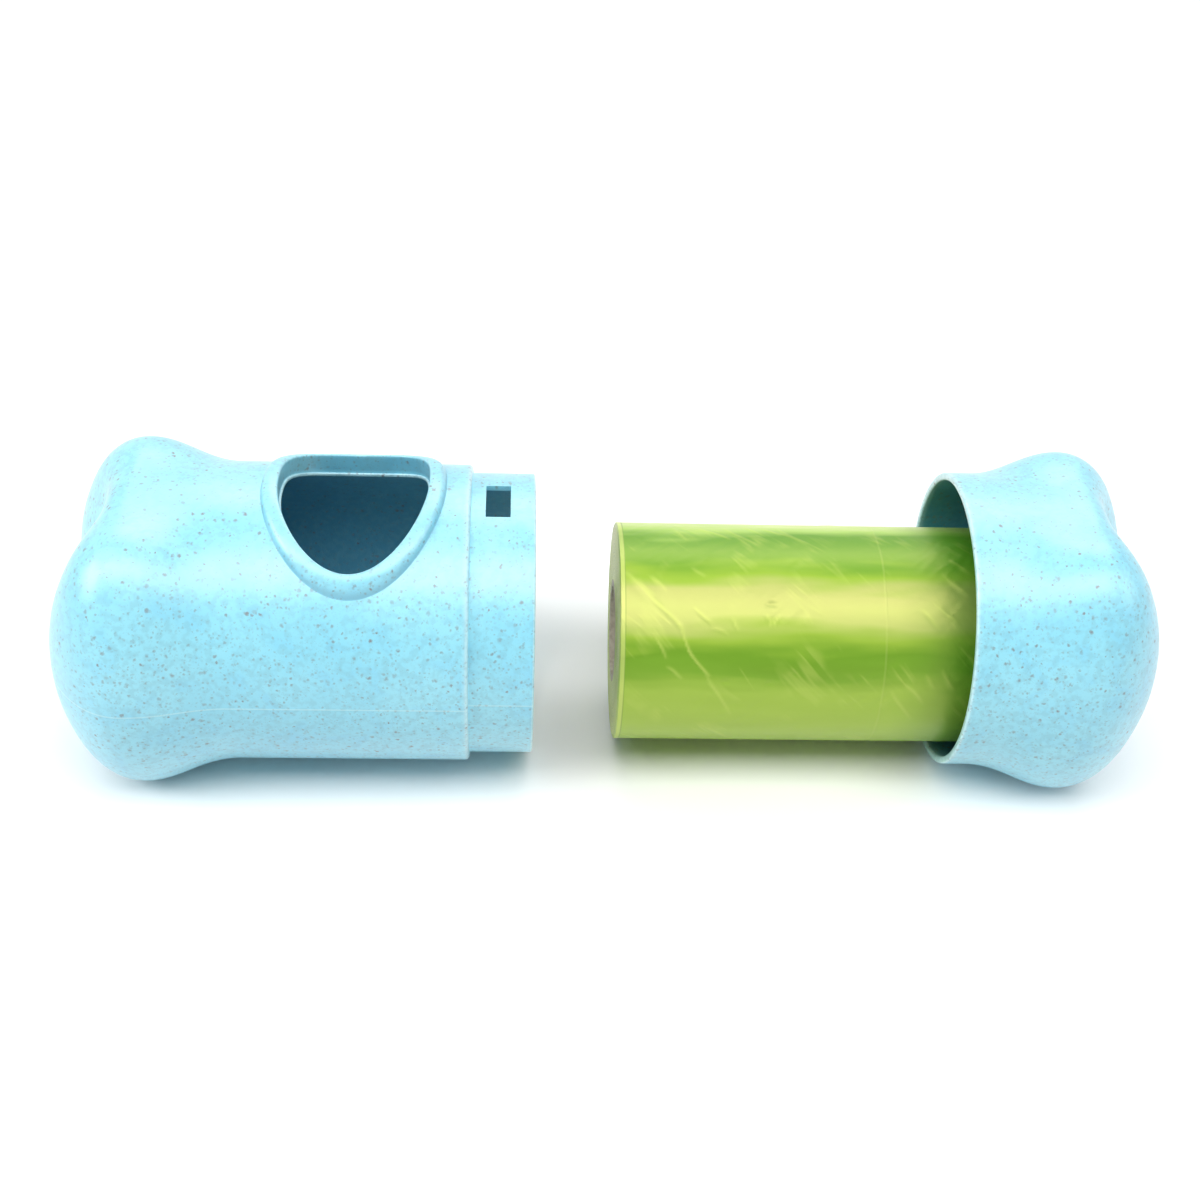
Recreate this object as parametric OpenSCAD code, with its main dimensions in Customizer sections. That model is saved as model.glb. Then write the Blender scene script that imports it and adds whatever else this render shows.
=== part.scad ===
// Bone-shaped dispenser for rolls of waste bags, lying open: the cap is pulled
// off the barrel and the roll of bags lies in the cap.
// X runs along the axis from the barrel's closed end to the cap's closed end,
// Z is up, and the origin is on the floor under the middle of the open set.

/* [Barrel] */
// Outside diameter of the barrel, and of the cap's skirt that meets it
barrel_d = 38.5; // [37.75:0.25:45]
// Length from the plane through the lobes to the shoulder that the cap seats on
barrel_l = 41.6; // [41:0.2:56]

/* [Bone ends] */
// How far the two lobes stand out past the plane through their widest places
lobe_reach = 10.3; // [9:0.1:11]
// Distance from the axis to the middle of each lobe
lobe_offset = 10; // [9:0.25:12]
// Width of one lobe across the end
lobe_w = 20.4; // [18:0.2:24]
// How far the lobes' tops and bottoms lie inside the barrel's own round
lobe_inset = 0.75; // [0.25:0.05:2.25]
// Height of the saddle between the lobes over the lobe plane, before blending
saddle_h = 3.4; // [3.2:0.1:5]
// Rounding of the edge round that saddle
saddle_round = 3; // [2:0.25:5]
// Size of the soft blend that flares the barrel into the lobes
flare_blend = 5.2; // [4:0.1:6]
// Size of the soft blend in the valley between the lobes
valley_blend = 5; // [3:0.5:7]
// Wall between the outside of a bone end and the hollow inside it
end_wall = 1.9; // [1.4:0.1:2.4]

/* [Spigot and skirt] */
// Length of the spigot past the shoulder
spigot_l = 8.1; // [6.5:0.1:10]
// Wall of the spigot
spigot_wall = 0.7; // [0.6:0.05:1.2]
// Bevel round the spigot's mouth
spigot_bevel = 0.3; // [0.1:0.05:0.4]
// Length of the cap from its rim to the plane through its lobes
skirt_l = 15.3; // [15:0.1:24]
// Wall of the skirt where it goes over the spigot
skirt_wall = 0.95; // [0.6:0.05:1.2]
// Radial running clearance between the spigot and the skirt
skirt_clear = 0.1; // [0.05:0.05:0.2]
// How much deeper the skirt's counterbore is than the spigot is long
seat_clear = 0.4; // [0.2:0.1:1]
// Bevel inside the skirt's rim, which leads it over the spigot
skirt_bevel = 0.35; // [0.15:0.05:0.5]

/* [Snap] */
// Length of each snap window along the axis
window_l = 3.1; // [2.6:0.1:4]
// Width of each snap window across the spigot
window_w = 6.6; // [4:0.2:9]
// Distance from the shoulder to the near edge of each window
window_gap = 1.85; // [1.2:0.05:2.4]
// How far each lug in the skirt stands in from its bore
lug_h = 0.6; // [0.35:0.05:0.8]
// Play between a lug and each edge of its window
lug_play = 0.35; // [0.2:0.05:0.5]

/* [Dispensing slot] */
// Width of the heart-shaped slot along the barrel
slot_w = 18.6; // [15:0.2:20]
// Reach of the heart's point from its widest line
slot_point = 13.5; // [10:0.25:14]
// Reach of the heart's two shoulders from its widest line
slot_crown = 9.8; // [8:0.2:11]
// Depth of the shallow notch between the shoulders
slot_notch = 0.8; // [0.4:0.1:2]
// Distance from the axis to the widest line, away from the point
slot_shift = 1; // [0:0.25:2]
// How far the slot lies from the middle of the barrel's straight part, to its end
slot_back = 0.65; // [0:0.05:1.5]
// Width of the raised band round the slot
band_w = 2; // [1.5:0.1:2.4]
// Height of the raised band over the barrel
band_h = 1.1; // [0.3:0.05:1.4]

/* [Bag roll] */
// Room between a new roll and the bore, all round
roll_room = 3.1; // [2.2:0.1:6]
// Play of the roll between the ledges of the closed dispenser
end_play = 1.1; // [0.6:0.1:3]
// Outside diameter of the paper core
core_d = 13.5; // [11:0.5:18]
// Wall of the paper core
core_wall = 0.9; // [0.6:0.1:1.5]
// Gap between the paper core and the film wound on it
core_gap = 0.05; // [0.02:0.01:0.1]
// Gap between the roll and the bore and ledge that it nearly touches
roll_gap = 0.3; // [0.2:0.05:0.5]
// Rounding of the roll's outer edges
roll_round = 0.5; // [0.2:0.1:1]

/* [Layout] */
// How far the cap is pulled off the shoulder as it lies
pulled = 62; // [56:0.5:90]

/* [Hidden] */
$fn = 96;

// Radii, from the outside in
barrel_r = barrel_d / 2;
skirt_r = barrel_r - skirt_wall;
spigot_r = skirt_r - skirt_clear;
bore_r = spigot_r - spigot_wall;
roll_r = bore_r - roll_room;
core_r = core_d / 2;
lobe_t = barrel_d - 2 * lobe_inset;

// Faces of a bone end: around it, over its dome and along its flare
around = 72;
dome_rings = 13;
flare_rings = 10;
// Faces of the hollow inside a bone end
hollow_around = 48;
hollow_rings = 8;
// Halvings that find the skin along a ray, from a span longer than any reach
halvings = 15;
ray_span = 40;

// The flare has died away at this distance from the lobe plane
flare_l = lobe_reach + 0.7 * flare_blend;
// The flare starts this much wider than the barrel, all round
flare_step = 0.05;
// The bore ends past the lobe plane in a ledge that stops the roll
ledge_at = 2.1;
ledge_w = 0.9;
// Cutters run this far past the faces that they open
over = 1;

// Places along X
span = barrel_l + pulled + skirt_l;
barrel_lobes_x = -span / 2;
cap_lobes_x = span / 2;
shoulder_x = barrel_lobes_x + barrel_l;
mouth_x = shoulder_x + spigot_l;
rim_x = cap_lobes_x - skirt_l;
slot_x = shoulder_x - (barrel_l - flare_l) / 2 - slot_back;
// The roll starts where it just clears the barrel's ledge once the cap is home
roll_x = barrel_lobes_x - ledge_at + roll_gap + pulled;
roll_l = barrel_l + skirt_l + 2 * ledge_at - end_play;
// Heights: the flares lie on the floor, and the roll on the cap's bore
axis_z = barrel_r + flare_step;
roll_z = axis_z - (bore_r - roll_r - roll_gap);

// Soft minimum: blends two distances over the size k
function soft_min(a, b, k) =
    let (h = min(max(0.5 + (b - a) / (2 * k), 0), 1))
    b + (a - b) * h - k * h * (1 - h);

// Distance to the barrel's own round end; s runs towards the closed end
function saddle_distance(s, r) =
    let (ds = s - saddle_h + saddle_round, dr = r - barrel_r + saddle_round)
    min(max(ds, dr), 0) + norm([max(ds, 0), max(dr, 0)]) - saddle_round;

// Distance to one lobe, an ellipsoid; u runs across the lobes and t upwards
function lobe_distance(s, u, t) =
    let (a = lobe_reach, b = lobe_w / 2, c = lobe_t / 2,
         near = norm([s / a, u / b, t / c]),
         slope = norm([s / a / a, u / b / b, t / c / c]))
    near * (near - 1) / max(slope, 0.0001);

// Distance to the skin of the whole bone end
function bone_distance(s, u, t) =
    soft_min(
        saddle_distance(s, norm([u, t])),
        soft_min(lobe_distance(s, u - lobe_offset, t),
                 lobe_distance(s, u + lobe_offset, t), valley_blend),
        flare_blend);

// How far a ray from [s, 0, 0] runs until it is `depth` under the skin
function reach(s, ray, depth, low = 0, high = ray_span, left = halvings) =
    let (middle = (low + high) / 2, p = [s, 0, 0] + middle * ray)
    left == 0 ? middle :
    bone_distance(p.x, p.y, p.z) < -depth
        ? reach(s, ray, depth, middle, high, left - 1)
        : reach(s, ray, depth, low, middle, left - 1);

// The same for the skin itself, which never hangs lower than the flare's start
function skin_reach(s, ray) =
    min(reach(s, ray, 0), axis_z / max(abs(ray.z), 0.01));

// Unit ray: polar angle from the closed end's axis, then the angle round it
function ray_at(polar, turn) =
    [cos(polar), sin(polar) * cos(turn), sin(polar) * sin(turn)];

// Triangles of a closed loft: rings of n points each, then its two poles
function loft_faces(rings, n) = concat(
    [for (j = [0 : rings - 2], i = [0 : n - 1])
        [j * n + i, (j + 1) * n + i, (j + 1) * n + (i + 1) % n]],
    [for (j = [0 : rings - 2], i = [0 : n - 1])
        [j * n + i, (j + 1) * n + (i + 1) % n, j * n + (i + 1) % n]],
    [for (i = [0 : n - 1]) [(i + 1) % n, rings * n, i]],
    [for (i = [0 : n - 1])
        [(rings - 1) * n + i, rings * n + 1, (rings - 1) * n + (i + 1) % n]]);

// Outside of a bone end, from where its flare starts to the tips of its lobes
module bone_skin() {
    flare = [for (j = [0 : flare_rings - 1], i = [0 : around - 1])
        let (s = -flare_l * (1 - j / flare_rings), ray = ray_at(90, i * 360 / around))
        [s, 0, 0] + ray * (j == 0 ? barrel_r + flare_step : skin_reach(s, ray))];
    dome = [for (j = [0 : dome_rings - 1], i = [0 : around - 1])
        let (ray = ray_at(90 * (1 - j / dome_rings), i * 360 / around))
        ray * skin_reach(0, ray)];
    poles = [[-flare_l, 0, 0], [reach(0, [1, 0, 0], 0), 0, 0]];
    polyhedron(concat(flare, dome, poles), loft_faces(flare_rings + dome_rings, around));
}

// Hollow past the ledge: it follows the skin, but no wider than the ledge
module bone_hollow() {
    base = [for (i = [0 : hollow_around - 1])
        [ledge_at - over, 0, 0] + ray_at(90, i * 360 / hollow_around) * (bore_r - ledge_w)];
    dome = [for (j = [0 : hollow_rings - 1], i = [0 : hollow_around - 1])
        let (polar = 84 * (1 - j / hollow_rings), ray = ray_at(polar, i * 360 / hollow_around))
        ray * min(reach(0, ray, end_wall), (bore_r - ledge_w) / sin(polar))];
    poles = [[ledge_at - over, 0, 0], [reach(0, [1, 0, 0], end_wall), 0, 0]];
    polyhedron(concat(base, dome, poles), loft_faces(hollow_rings + 1, hollow_around));
}

// A cylinder along X
module bar(from_x, to_x, r) {
    translate([from_x, 0, 0]) rotate([0, 90, 0]) cylinder(h = to_x - from_x, r = r);
}

// Half of the heart: a half ellipse below, a squarer crown with a notch above
function heart(grow_x, grow_y) = [for (i = [0 : 3 : 357])
    let (half_w = slot_w / 2 + grow_x,
         c = sign(cos(i)) * pow(abs(cos(i)), 2 / 3),
         notch = slot_notch * pow(cos(min(abs(c) * 180, 90)), 2))
    i < 180
        ? [half_w * c, slot_shift + (slot_crown + grow_y) * pow(sin(i), 2 / 3) - notch]
        : [half_w * cos(i), slot_shift + (slot_point + grow_y) * sin(i)]];

// Raised band round the slot, trimmed to a round a little over the barrel's
module slot_band() {
    intersection() {
        translate([slot_x, 0, 0]) linear_extrude(barrel_r + 2 * band_h) polygon(heart(band_w, 0.75 * band_w));
        bar(slot_x - slot_w, slot_x + slot_w, barrel_r + band_h);
    }
}

// Snap windows above and below, cut through the spigot
module snap_windows() {
    translate([shoulder_x + window_gap, -window_w / 2, -spigot_r - over])
        cube([window_l, window_w, 2 * (spigot_r + over)]);
}

// Mouth end of the spigot: a cylinder with a bevelled edge
module spigot() {
    translate([shoulder_x - over, 0, 0]) rotate([0, 90, 0]) rotate_extrude()
        polygon([[0, 0], [spigot_r, 0], [spigot_r, over + spigot_l - spigot_bevel],
                 [spigot_r - spigot_bevel, over + spigot_l], [0, over + spigot_l]]);
}

module body_shell() {
    color([0.56, 0.83, 0.91]) translate([0, 0, axis_z]) difference() {
        union() {
            translate([barrel_lobes_x, 0, 0]) mirror([1, 0, 0]) bone_skin();
            bar(barrel_lobes_x + flare_l, shoulder_x, barrel_r);
            slot_band();
            spigot();
        }
        bar(barrel_lobes_x - ledge_at, mouth_x + over, bore_r);
        translate([barrel_lobes_x, 0, 0]) mirror([1, 0, 0]) bone_hollow();
        translate([slot_x, 0, 0]) linear_extrude(barrel_r + band_h + over) polygon(heart(0, 0));
        snap_windows();
    }
}

// Two sloped lugs inside the skirt, which click into the spigot's windows
module snap_lugs() {
    lug_l = window_l - 2 * lug_play;
    lug_w = window_w - 2 * lug_play;
    slope = lug_l / 4;
    root = (barrel_r - skirt_r) / 2;
    intersection() {
        translate([rim_x + window_gap + lug_play, 0, 0]) rotate([0, 90, 0]) rotate_extrude()
            polygon([[skirt_r + root, 0], [skirt_r, 0], [skirt_r - lug_h, slope],
                     [skirt_r - lug_h, lug_l - slope], [skirt_r, lug_l], [skirt_r + root, lug_l]]);
        translate([rim_x, -lug_w / 2, -barrel_r]) cube([skirt_l, lug_w, barrel_d]);
    }
}

// Counterbore that slides over the spigot, with its lead-in bevel
module skirt_bore() {
    translate([rim_x, 0, 0]) rotate([0, 90, 0]) rotate_extrude()
        polygon([[0, -over], [skirt_r + skirt_bevel, -over], [skirt_r + skirt_bevel, 0],
                 [skirt_r, skirt_bevel], [skirt_r, spigot_l + seat_clear], [0, spigot_l + seat_clear]]);
}

module end_cap() {
    color([0.56, 0.83, 0.91]) translate([0, 0, axis_z]) union() {
        difference() {
            union() {
                translate([cap_lobes_x, 0, 0]) bone_skin();
                bar(rim_x, cap_lobes_x - flare_l, barrel_r);
            }
            skirt_bore();
            bar(rim_x + over, cap_lobes_x + ledge_at, bore_r);
            translate([cap_lobes_x, 0, 0]) bone_hollow();
        }
        snap_lugs();
    }
}

module bag_roll() {
    color([0.62, 0.78, 0.22]) translate([roll_x, 0, roll_z])
        rotate([0, 90, 0]) rotate_extrude()
            polygon([[core_r + core_gap, 0], [roll_r - roll_round, 0], [roll_r, roll_round],
                     [roll_r, roll_l - roll_round], [roll_r - roll_round, roll_l],
                     [core_r + core_gap, roll_l]]);
}

module roll_core() {
    color([0.82, 0.78, 0.7]) translate([roll_x, 0, roll_z])
        rotate([0, 90, 0]) difference() {
            cylinder(h = roll_l, r = core_r);
            translate([0, 0, -over]) cylinder(h = roll_l + 2 * over, r = core_r - core_wall);
        }
}

body_shell();
end_cap();
bag_roll();
roll_core();
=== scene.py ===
# A bone-shaped dispenser for waste bags, pulled open, with its roll lying in the cap.
# Lengths in the dictionaries are millimetres unless noted; meshes are scaled to metres at the end.
import bpy
import bmesh
import math
import numpy as np
from mathutils import Matrix, Vector, noise


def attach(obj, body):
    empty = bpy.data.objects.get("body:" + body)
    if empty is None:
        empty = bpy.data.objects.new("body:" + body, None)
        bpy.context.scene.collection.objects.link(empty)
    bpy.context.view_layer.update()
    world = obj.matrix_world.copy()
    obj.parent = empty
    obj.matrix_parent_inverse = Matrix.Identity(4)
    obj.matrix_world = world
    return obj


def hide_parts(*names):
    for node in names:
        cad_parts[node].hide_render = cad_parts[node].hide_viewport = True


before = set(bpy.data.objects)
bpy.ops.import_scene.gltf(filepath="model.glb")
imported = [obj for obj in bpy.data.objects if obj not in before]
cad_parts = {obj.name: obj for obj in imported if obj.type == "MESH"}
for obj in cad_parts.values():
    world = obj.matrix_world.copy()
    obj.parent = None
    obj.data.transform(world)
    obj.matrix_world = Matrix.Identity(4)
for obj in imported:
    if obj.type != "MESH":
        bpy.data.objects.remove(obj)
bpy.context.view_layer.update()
print("frame loaded:", sorted(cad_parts))

layout = {
    "axisHeight": 19.3,      # both shells share this axis over the floor
    "barrelLobes": -59.45,   # plane through the barrel's two lobes
    "capLobes": 59.45,       # the same plane of the cap
    "rollHeight": 16.5,      # axis of the roll, which lies on the cap's bore
    "rollStart": 0.75,
    "rollLength": 60.0,
    "weld": 0.0001,          # points closer than this are one
    "slack": 0.01,           # points this close to a boundary count as on it
}


# Camera: the photograph's angle, fitted to it, with the eye about 23 cm from the object
view = {
    "distance": 231.8,
    "elevation": 38.83,      # degrees, as are yaw and roll
    "yaw": 3.81,
    "roll": -3.15,
    "right": 0.989,
    "up": -1.804,
    "pixelsPerMm": 7.6,
    "frameWidth": 1200,
    "sensorWidth": 36,
    "clip": (0.005, 20),     # metres
}


def addCamera():
    tilt, yaw, roll = (math.radians(view[key]) for key in ("elevation", "yaw", "roll"))
    flat = Vector((math.cos(yaw), -math.sin(yaw), 0))
    rise = Vector((math.sin(yaw) * math.sin(tilt), math.cos(yaw) * math.sin(tilt), math.cos(tilt)))
    back = Vector((-math.sin(yaw) * math.cos(tilt), -math.cos(yaw) * math.cos(tilt), math.sin(tilt)))
    right = flat * math.cos(roll) - rise * math.sin(roll)
    up = flat * math.sin(roll) + rise * math.cos(roll)
    eye = back * view["distance"] - right * view["right"] - up * view["up"]
    eye.z += layout["axisHeight"]
    camera = bpy.data.objects.new("camera", bpy.data.cameras.new("camera"))
    bpy.context.collection.objects.link(camera)
    turned = Matrix((right, up, back)).transposed().to_4x4()
    camera.matrix_world = Matrix.Translation(eye * 0.001) @ turned
    camera.data.sensor_fit = "HORIZONTAL"
    camera.data.sensor_width = view["sensorWidth"]
    camera.data.lens = view["sensorWidth"] * view["pixelsPerMm"] * view["distance"] / view["frameWidth"]
    camera.data.clip_start, camera.data.clip_end = view["clip"]
    bpy.context.scene.camera = camera
    return camera


# Shader maths: an expression on a Wire adds its Math nodes
class Wire:
    def __init__(self, paint, socket):
        self.paint, self.socket = paint, socket

    def calc(self, operation, *others):
        values = dict(enumerate((self,) + others))
        return self.paint.node("ShaderNodeMath", {"operation": operation}, values)

    def __add__(self, other): return self.calc("ADD", other)
    def __radd__(self, other): return self.calc("ADD", other)
    def __sub__(self, other): return self.calc("SUBTRACT", other)
    def __rsub__(self, other): return (self * -1).calc("ADD", other)
    def __mul__(self, other): return self.calc("MULTIPLY", other)
    def __rmul__(self, other): return self.calc("MULTIPLY", other)
    def __truediv__(self, other): return self.calc("DIVIDE", other)
    def __pow__(self, other): return self.calc("POWER", other)
    def __lt__(self, other): return self.calc("LESS_THAN", other)
    def __gt__(self, other): return self.calc("GREATER_THAN", other)
    def __abs__(self): return self.calc("ABSOLUTE")

    def ease(self, low, high):   # 0 below low, 1 above high, soft between
        settings = {"interpolation_type": "SMOOTHSTEP"}
        return self.paint.node("ShaderNodeMapRange", settings,
                               {"Value": self, "From Min": low, "From Max": high})


class Paint:
    def __init__(self, owner):   # a material or the world
        owner.use_nodes = True
        self.owner, self.tree = owner, owner.node_tree
        self.tree.nodes.clear()

    def node(self, kind, settings=None, values=None, out=0):
        made = self.tree.nodes.new(kind)
        for key, value in (settings or {}).items():
            if key == "stops":
                ramp = made.color_ramp
                while len(ramp.elements) < len(value):
                    ramp.elements.new(0.5)
                for element, (place, colour) in zip(ramp.elements, value):
                    element.position, element.color = place, colour
            else:
                setattr(made, key, value)
        for key, value in (values or {}).items():
            if isinstance(value, Wire):
                self.tree.links.new(value.socket, made.inputs[key])
            else:
                made.inputs[key].default_value = value
        return Wire(self, made.outputs[out]) if len(made.outputs) else None

    def place(self):   # object coordinates in millimetres
        where = self.node("ShaderNodeTexCoord", out="Object")
        return self.node("ShaderNodeVectorMath", {"operation": "SCALE"}, {0: where, "Scale": 1000.0})

    def axes(self, vector):
        return [self.node("ShaderNodeSeparateXYZ", None, {0: vector}, out=i) for i in range(3)]

    def cloud(self, where, look, out=0):   # noise, with the scale and detail that look names
        return self.node("ShaderNodeTexNoise", None, {"Vector": where, **look}, out)

    def mark(self, name):   # a value that the mesh carries at its points
        return self.node("ShaderNodeAttribute", {"attribute_name": name}, None, out="Fac")

    def blend(self, factor, first, second):   # colours
        values = {0: factor, 6: first, 7: second}
        return self.node("ShaderNodeMix", {"data_type": "RGBA"}, values, out=2)

    def relief(self, height):   # in millimetres
        return self.node("ShaderNodeBump", None, {"Strength": 1.0, "Distance": 0.001, "Height": height})

    def seen(self):   # 1 for what the camera sees, itself, in gloss or through glass
        kinds = ("Is Camera Ray", "Is Glossy Ray", "Is Transmission Ray")
        rays = [self.node("ShaderNodeLightPath", out=kind) for kind in kinds]
        return rays[0].calc("MAXIMUM", rays[1]).calc("MAXIMUM", rays[2])

    def finish(self, sockets):
        shader = self.node("ShaderNodeBsdfPrincipled", None, sockets)
        self.node("ShaderNodeOutputMaterial", None, {"Surface": shader})
        return self.owner


def newPaint(name):
    return Paint(bpy.data.materials.new(name))


def linear(red, green, blue):
    def one(share):
        share /= 255
        return share / 12.92 if share <= 0.04045 else ((share + 0.055) / 1.055) ** 2.4
    return (one(red), one(green), one(blue), 1.0)


plastic = {
    "blue": linear(137, 218, 239),
    "paleBlue": linear(148, 225, 243),
    "deepBlue": linear(122, 209, 240),
    # painted shade: walls that face the hollow take this darker blue
    "inside": linear(78, 155, 186),
    "grain": linear(112, 178, 196),
    "speck": linear(118, 150, 162),
    "darkSpeck": linear(112, 98, 94),
    # painted highlight: thin rims, lips and the barrel's parting line take this pale blue
    "edge": linear(204, 242, 248),
    "cloud": {"Scale": 0.08, "Detail": 3.0},
    "cloudEase": (0.35, 0.65),
    "swirl": {"Scale": 0.3, "Detail": 4.0, "Distortion": 0.6},
    "swirlEase": (0.45, 0.75),
    "swirlTone": 0.5,        # a tone is how strongly a colour shows
    "edgeHighlightTone": 0.75,
    "mottle": {"Scale": 1.1, "Detail": 1.5},
    "mottleEase": (0.42, 0.66),
    "mottleTone": 0.3,
    # cells per millimetre, share of cells kept, smallest and largest size in cells, strength
    "flecks": ((3.6, 0.6, 0.2, 0.45, 0.2), (2.0, 0.65, 0.2, 0.46, 0.5), (1.15, 0.6, 0.14, 0.37, 0.85)),
    "fleckEase": (0.3, 1.2),
    "fleckSpread": 0.6,      # how much the flecks differ in strength
    "bend": {"Scale": 2.6, "Detail": 2.0},
    "bendBy": 0.45,          # bends the flecks out of round
    "seamEase": (0.045, 0.144),
    "seamTone": 0.45,
    "texture": {"Scale": 4.0, "Detail": 4.0},
    "waves": {"Scale": 0.4, "Detail": 2.0},
    "heights": {"texture": 0.01, "waves": 0.05, "seam": 0.03, "flecks": 0.006},
    "roughness": 0.44,
    "roughSpread": 0.12,
    "fleckRough": 0.08,
    "constants": {"IOR": 1.5, "Coat Weight": 1.0, "Coat Roughness": 0.36, "Coat IOR": 1.7},
}


def speckledPlastic():
    paint = newPaint("speckled_plastic")
    where = paint.place()
    x, _, z = paint.axes(where)
    cloud = paint.cloud(where, plastic["cloud"]).ease(*plastic["cloudEase"])
    base = paint.blend(cloud, plastic["blue"], plastic["paleBlue"])
    swirl = paint.cloud(where, plastic["swirl"]).ease(*plastic["swirlEase"])
    base = paint.blend(swirl * plastic["swirlTone"], base, plastic["deepBlue"])
    # painted shade on the walls that face the hollow
    inside = paint.mark("inside")
    base = paint.blend(inside, base, plastic["inside"])
    # painted highlight along thin rims and lips
    base = paint.blend(paint.mark("edge") * plastic["edgeHighlightTone"], base, plastic["edge"])
    mottle = paint.cloud(where, plastic["mottle"]).ease(*plastic["mottleEase"])
    base = paint.blend(mottle * plastic["mottleTone"], base, plastic["grain"])
    bend = paint.cloud(where, plastic["bend"], "Color")
    bend = paint.node("ShaderNodeVectorMath", {"operation": "SCALE"}, {0: bend, "Scale": plastic["bendBy"]})
    warped = paint.node("ShaderNodeVectorMath", {"operation": "ADD"}, {0: where, 1: bend})
    marks, spread = 0, plastic["fleckSpread"]
    for scale, keep, small, big, strength in plastic["flecks"]:
        cell = {"Vector": warped, "Scale": scale}
        distance = paint.node("ShaderNodeTexVoronoi", None, cell, out="Distance")
        chance = paint.axes(paint.node("ShaderNodeTexVoronoi", None, cell, out="Color"))
        size = chance[1] * (big - small) + small
        mark = (1 - (distance / size).ease(*plastic["fleckEase"])) * (chance[0] < keep)
        tint = paint.blend(chance[2], plastic["speck"], plastic["darkSpeck"])
        base = paint.blend(mark * (chance[2] * spread + (1 - spread)) * strength, base, tint)
        marks = mark + marks
    seam = 1 - abs(z - layout["axisHeight"]).ease(*plastic["seamEase"])
    seam = seam * (1 - inside) * (x < 0)   # the parting line shows on the barrel
    # a painted highlight along the parting line, over its low ridge in the relief
    base = paint.blend(seam * plastic["seamTone"], base, plastic["edge"])
    texture, waves = paint.cloud(where, plastic["texture"]), paint.cloud(where, plastic["waves"])
    tall = plastic["heights"]
    height = texture * tall["texture"] + waves * tall["waves"] + seam * tall["seam"] - marks * tall["flecks"]
    spread = plastic["roughSpread"]
    rough = texture * spread + (plastic["roughness"] - spread / 2) + marks * plastic["fleckRough"]
    return paint.finish({"Base Color": base, "Roughness": rough, "Normal": paint.relief(height),
                         **plastic["constants"]})


# The softly blended bone end, the same on both shells
bone = {
    "lobeReach": 10.3,
    "lobeOffset": 10.0,
    "lobeWidth": 20.4,
    "lobeThick": 37.0,
    "saddleHeight": 3.4,
    "saddleRound": 3.0,
    "flareBlend": 5.2,
    "valleyBlend": 5.0,
    "endWall": 1.9,
    "barrelRadius": 19.25,
    "boreRadius": 17.5,
    "hollowRadius": 16.6,
    "ledgeAt": 2.1,
    "around": 288,
    "domeRings": 72,
    "hollowRings": 40,
    "belowBore": 0.1,        # keeps the bore's own wall out of the hollow
    "farthest": 40.0,        # a ray finds the skin within this
    "halvings": 26,          # of that length, until the place is exact
}
bone["flareLength"] = bone["lobeReach"] + 0.7 * bone["flareBlend"]


def softMin(first, second, size):
    share = np.clip(0.5 + (second - first) / (2 * size), 0, 1)
    return second + (first - second) * share - size * share * (1 - share)


def lobeDistance(along, across, up):   # to a lobe, an ellipsoid, and close to true near its skin
    reach, wide, thick = bone["lobeReach"], bone["lobeWidth"] / 2, bone["lobeThick"] / 2
    near = np.sqrt((along / reach) ** 2 + (across / wide) ** 2 + (up / thick) ** 2)
    slope = np.sqrt((along / reach / reach) ** 2 + (across / wide / wide) ** 2 + (up / thick / thick) ** 2)
    return near * (near - 1) / np.maximum(slope, 1e-4)


def boneDistance(along, across, up):   # along runs to the closed end; below 0 is inside the skin
    edge = bone["saddleRound"]
    past, out = along - bone["saddleHeight"] + edge, np.hypot(across, up) - bone["barrelRadius"] + edge
    saddle = np.minimum(np.maximum(past, out), 0) + np.hypot(np.maximum(past, 0), np.maximum(out, 0)) - edge
    lobes = softMin(lobeDistance(along, across - bone["lobeOffset"], up),
                    lobeDistance(along, across + bone["lobeOffset"], up), bone["valleyBlend"])
    return softMin(saddle, lobes, bone["flareBlend"])


def skinReach(start, ray, depth):   # how far each ray runs until it is depth under the skin
    low, high = np.zeros(len(start)), np.full(len(start), bone["farthest"])
    for _ in range(bone["halvings"]):
        middle = (low + high) / 2
        inside = boneDistance(start + ray[:, 0] * middle, ray[:, 1] * middle, ray[:, 2] * middle) < -depth
        low, high = np.where(inside, middle, low), np.where(inside, high, middle)
    return low


def shapeBoneEnd(bm):   # the lathed round is pushed out to the bone's skin
    points = np.array([vert.co for vert in bm.verts])
    along, radius = points[:, 0], np.hypot(points[:, 1], points[:, 2])
    reference = np.hypot(np.maximum(along, 0), radius)
    slack = layout["slack"]
    skin = (reference > bone["barrelRadius"] - slack) & (along > -bone["flareLength"] + slack)
    hollow = (along > bone["ledgeAt"] - slack) & (reference < bone["boreRadius"] - bone["belowBore"])
    start = np.minimum(along, 0)
    ray = np.stack([np.maximum(along, 0), points[:, 1], points[:, 2]], 1)
    ray /= np.maximum(np.linalg.norm(ray, axis=1), 1e-9)[:, None]
    out = skinReach(start[skin], ray[skin], 0.0)
    out = np.minimum(out, layout["axisHeight"] / np.maximum(abs(ray[skin][:, 2]), 0.01))
    moved = points.copy()
    moved[skin] = ray[skin] * out[:, None]
    moved[skin, 0] += start[skin]
    deep = skinReach(start[hollow], ray[hollow], bone["endWall"])
    flat = np.hypot(ray[hollow][:, 1], ray[hollow][:, 2])
    deep = np.minimum(deep, bone["hollowRadius"] / np.maximum(flat, 1e-3))
    moved[hollow] = ray[hollow] * deep[:, None]
    for vert, place in zip(bm.verts, moved):
        vert.co = place


def drawLine(bm, last, along, radius, cuts):
    start = last.co.copy()
    for step in range(1, cuts + 2):
        following = bm.verts.new(start.lerp(Vector((along, 0, radius)), step / (cuts + 1)))
        bm.edges.new((last, following))
        last = following
    return last


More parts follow.
